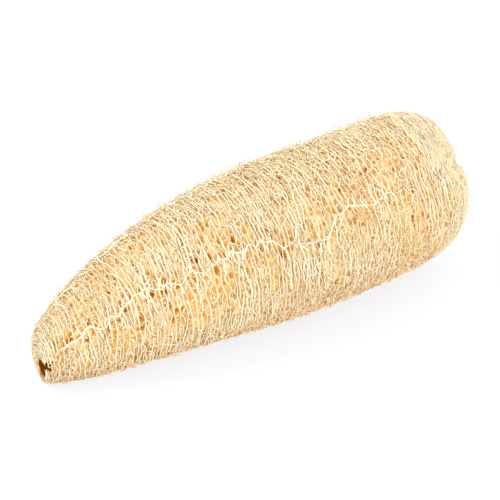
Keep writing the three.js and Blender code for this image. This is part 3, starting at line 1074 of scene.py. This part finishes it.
FINE_HOOPS = 6500
FINE_HOOP_POINTS = 6
FINE_HOOP_LENGTHS = (0.008, 0.018)
FINE_HOOP_SINKS = (0.0002, 0.0009)
FINE_HOOP_RADII = (0.00022, 0.00036)
FINE_HOOP_CLEARANCE = 0.0004
FEWER_AT_CROWN = ([0.25, 0.29], [1, 0.8])
fine_run, fine_angle = scattered(felt_rng, FINE_HOOPS)
fine_share = np.clip(0.55 + 0.6 * np.sin(fine_angle[:, 0] + 0.15), 0.25, 1)
fine_share *= 1 - 1.2 * openness(fine_run[:, 0], fine_angle[:, 0])
fine_share *= np.interp(fine_run[:, 0], *FEWER_AT_CROWN)
fine_kept = felt_rng.uniform(0, 1, FINE_HOOPS) < fine_share
fine_run = fine_run[fine_kept]
fine_angle = fine_angle[fine_kept]
fine_count = len(fine_run)
fine_shares = np.linspace(-0.5, 0.5, FINE_HOOP_POINTS)
fine_heading = felt_rng.normal(0, 0.1, fine_count)[:, None]
fine_length = felt_rng.uniform(*FINE_HOOP_LENGTHS, fine_count)[:, None]
fine_curl = felt_rng.uniform(-0.15, 0.15, fine_count)[:, None]
fine_run, fine_angle = threads(fine_run, fine_angle, fine_heading, fine_length, fine_curl, fine_shares)
fine_depth = felt_rng.uniform(*FINE_HOOP_SINKS, fine_count)[:, None] + 0 * fine_shares
fine_points = under_skin(fine_run, fine_angle, fine_depth, FINE_HOOP_CLEARANCE)
fine_points = fine_points[(in_slit(fine_points).max(1) < SLIT_EDGE) & ~in_window(fine_run, fine_angle)]
grow("fine_hoops", thin_strands(felt_rng, fine_points, FINE_HOOP_RADII, (0, 1)), cream)

felt_strands += felt(felt_rng, count=420, first=0.004, last=0.05, slant=1.0, longest=0.011, radius=0.00022)
# Some threads go straight across the mouth's rim, so that it is ragged.
RIM_THREADS = 14
RIM_POINTS = 6
RIM_RUN = 0.0025
RIM_DEPTH = 0.0004
RIM_RADII = (0.0002, 0.0003)
for _ in range(RIM_THREADS):
    first = felt_rng.uniform(0, 2 * np.pi)
    last = first + felt_rng.uniform(0.4, 1.3)
    ends = under_skin(np.full(2, RIM_RUN), np.array([first, last]), np.full(2, RIM_DEPTH), RIM_DEPTH)
    shares = np.linspace(0, 1, RIM_POINTS)[:, None]
    points = ends[0] * (1 - shares) + ends[1] * shares
    points[:, 0] += felt_rng.uniform(-0.0008, 0.002) * np.sin(np.pi * shares[:, 0])
    if in_slit(points).max() < 0.5:
        felt_strands += thin_strands(felt_rng, [points], RIM_RADII, (0, 1))
grow("crossing_threads", felt_strands, cream)


# Loose hairs: ends of thin fibre that came free as the gourd was peeled and dried. They stand off the net,
# some as loops with both ends held, and a few as long wisps.
HAIRS = 3600
HAIR_POINTS = 6
HAIR_LENGTHS = (0.003, 0.009)
HAIR_RISE = 0.0048
HAIR_ROOT = 0.0006
HAIR_RADII = (0.00014, 0.00026)
HAIR_LOOPS = 0.4
LOW_AT_TIP = ([0.01, 0.04], [0.35, 1])
LOW_BENEATH = ([-0.9, 0.1], [0.45, 1])
hair_shares = np.linspace(0, 1, HAIR_POINTS)
hair_rng = np.random.default_rng(400)
hair_run, hair_angle = scattered(hair_rng, HAIRS)
heading = (hair_rng.choice([0, np.pi], HAIRS) + hair_rng.normal(0, 0.7, HAIRS))[:, None]
length = hair_rng.uniform(*HAIR_LENGTHS, HAIRS)[:, None]
curl = hair_rng.uniform(-0.7, 0.7, HAIRS)[:, None]
rise = HAIR_RISE * hair_rng.uniform(0.1, 1, HAIRS)[:, None] ** 1.3
rise = rise * np.interp(hair_run, *LOW_AT_TIP) * np.interp(np.sin(hair_angle), *LOW_BENEATH)
run, angle = threads(hair_run, hair_angle, heading, length, curl, hair_shares)
loops = hair_rng.uniform(0, 1, HAIRS)[:, None] < HAIR_LOOPS
stands = np.where(loops, np.sin(np.pi * hair_shares), hair_shares**1.5)
hair_points = under_skin(run, angle, HAIR_ROOT - rise * stands, THREAD_CLEARANCE)
hair_points = hair_points[in_slit(hair_points).max(1) < SLIT_EDGE]
hair_strands = thin_strands(hair_rng, hair_points, HAIR_RADII, (0, 0.6))
# The wisps stand on the upper side, spread about one angle.
WISPS = 70
WISP_POINTS = 9
WISP_ANGLE = 1.9
WISP_SPREAD = 1.5
WISP_LENGTHS = (0.010, 0.020)
WISP_RISES = (0.003, 0.008)
WISP_RADIUS = 0.00013
wisp_shares = np.linspace(0, 1, WISP_POINTS)
wisp_rng = np.random.default_rng(410)
wisp_run, wisp_angle = scattered(wisp_rng, WISPS, first=0.03, last=0.30)
wisp_angle = WISP_ANGLE + WISP_SPREAD * np.sin(wisp_angle)
heading = wisp_rng.uniform(0, 2 * np.pi, WISPS)[:, None]
length = wisp_rng.uniform(*WISP_LENGTHS, WISPS)[:, None]
curl = wisp_rng.uniform(-0.6, 0.6, WISPS)[:, None]
rise = wisp_rng.uniform(*WISP_RISES, WISPS)[:, None]
run, angle = threads(wisp_run, wisp_angle, heading, length, curl, wisp_shares)
stands = np.sin(0.8 * np.pi * wisp_shares)
for points in under_skin(run, angle, HAIR_ROOT - rise * stands, THREAD_CLEARANCE):
    hair_strands.append((points, WISP_RADIUS * pointed(WISP_POINTS), False, wisp_rng.uniform(0, 0.5)))
grow("loose_hairs", hair_strands, fibre("hair_gourd_fibre", "#f8edd4", "#f1dfba", 0.7, low_down_share=0.25))


# Floor, light and camera: a table top covered in white paper, which glows a little so that it stays white
# with a faint, wide shadow. Soft lights stand behind, in front and beside the crown, and the camera looks
# down on the slim tip.
bpy.ops.mesh.primitive_plane_add(size=8)
floor = bpy.context.object
floor.name = "table_top"
paper = bpy.data.materials.new("white_paper")
paper.use_nodes = True
paper_shader = paper.node_tree.nodes["Principled BSDF"]
paper_shader.inputs["Base Color"].default_value = linear("#858789")
paper_shader.inputs["Roughness"].default_value = 0.9
paper_shader.inputs["Emission Color"].default_value = linear("#f9fafe")
paper_shader.inputs["Emission Strength"].default_value = 0.75
paper_shader.inputs["Specular IOR Level"].default_value = 0.1
floor.data.materials.append(paper)

scene = bpy.context.scene
scene.view_settings.view_transform = "Standard"
scene.world = bpy.data.worlds.new("white_room")
scene.world.use_nodes = True
scene.world.node_tree.nodes["Background"].inputs["Color"].default_value = linear("#fcfdff")
scene.world.node_tree.nodes["Background"].inputs["Strength"].default_value = 1.25

CAMERA_AZIMUTH = math.radians(-29.8)
CAMERA_ELEVATION = math.radians(36)
CAMERA_DISTANCE = 0.8903
CAMERA_LENS = 100
back = np.array(
    [
        math.sin(CAMERA_AZIMUTH) * math.cos(CAMERA_ELEVATION),
        -math.cos(CAMERA_AZIMUTH) * math.cos(CAMERA_ELEVATION),
        math.sin(CAMERA_ELEVATION),
    ]
)
right = np.array([math.cos(CAMERA_AZIMUTH), math.sin(CAMERA_AZIMUTH), 0])
upward = np.cross(back, right)
aim = np.array([0, 0, 0.045]) - 0.00153 * right + 0.0026 * upward
bpy.ops.object.camera_add(location=aim + CAMERA_DISTANCE * back)
camera = bpy.context.object
camera.rotation_euler = (math.pi / 2 - CAMERA_ELEVATION, 0, CAMERA_AZIMUTH)
camera.data.lens = CAMERA_LENS
camera.data.sensor_width = 36
camera.data.clip_start = 0.01
scene.camera = camera


def soft_light(name, place, size, power):
    """A square soft light that is turned to the loofah."""
    bpy.ops.object.light_add(type="AREA", location=place)
    lamp = bpy.context.object
    lamp.name = name
    lamp.data.size = size
    lamp.data.energy = power
    lamp.rotation_euler = (Vector((0, 0, 0.05)) - Vector(place)).to_track_quat("-Z", "Y").to_euler()


soft_light("key_light", (-0.9, 0.5, 0.9), 0.9, 7.2)
soft_light("fill_light", (-0.3, -1.2, 0.4), 1.0, 11.0)
soft_light("crown_light", (1.1, -0.5, 0.6), 0.8, 1.0)
